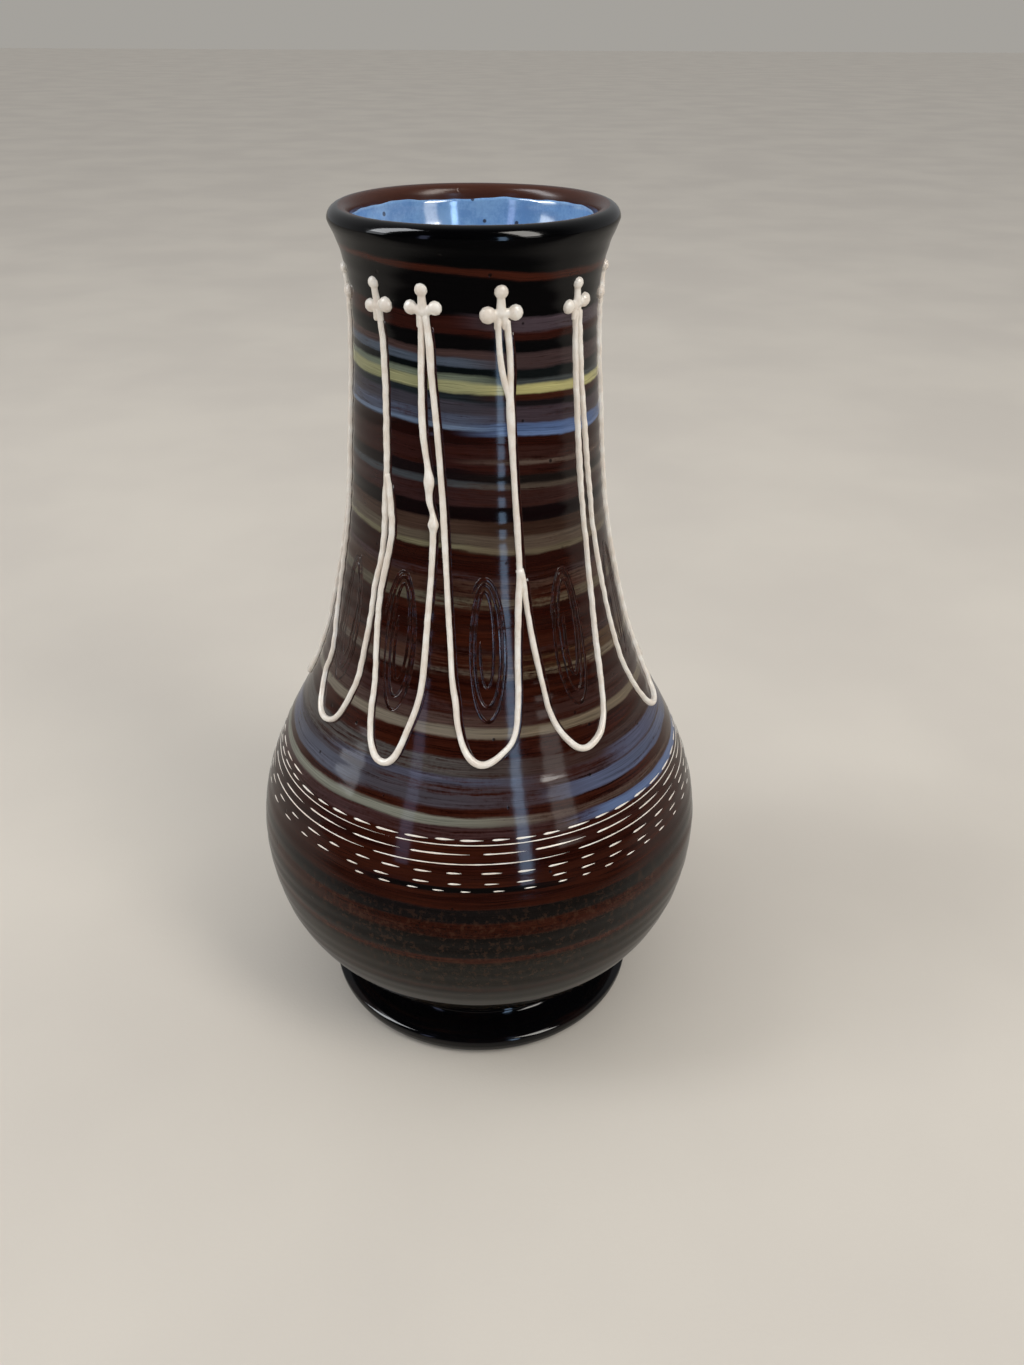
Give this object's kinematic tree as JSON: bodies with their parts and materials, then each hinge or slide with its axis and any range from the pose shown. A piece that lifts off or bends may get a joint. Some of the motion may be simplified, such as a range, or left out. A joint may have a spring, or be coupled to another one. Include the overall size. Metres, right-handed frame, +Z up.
{
  "type": "ceramic vase",
  "caption": "Wheel-thrown pear-shaped ceramic vase with a flared lip and foot, banded glaze and trailed white slip crosses and garlands.",
  "frame": {"origin": "on the table, at the middle of the foot ring's flat underside", "axes": "+Z up along the axis the pot was thrown on; -Y is the side seen from the front"},
  "size_m": [0.14, 0.14, 0.25],
  "materials": {
    "banded_glaze": "glossy clear glaze over bands of dark coloured slip on red clay",
    "black_glaze": "glossy black glaze",
    "white_slip": "warm white slip under clear glaze"
  },
  "bodies": {
    "root": {"vase_body": "banded_glaze", "foot_ring": "black_glaze", "slip_cross_01": "white_slip", "slip_cross_02": "white_slip", "slip_cross_03": "white_slip", "slip_cross_04": "white_slip", "slip_cross_05": "white_slip", "slip_cross_06": "white_slip", "slip_cross_07": "white_slip", "slip_cross_08": "white_slip", "slip_cross_09": "white_slip", "slip_cross_10": "white_slip", "slip_cross_11": "white_slip", "slip_garland_01": "white_slip", "slip_garland_02": "white_slip", "slip_garland_03": "white_slip", "slip_garland_04": "white_slip", "slip_garland_05": "white_slip", "slip_garland_06": "white_slip", "slip_garland_07": "white_slip", "slip_garland_08": "white_slip", "slip_garland_09": "white_slip", "slip_garland_10": "white_slip", "slip_garland_11": "white_slip"}
  },
  "joints": []
}
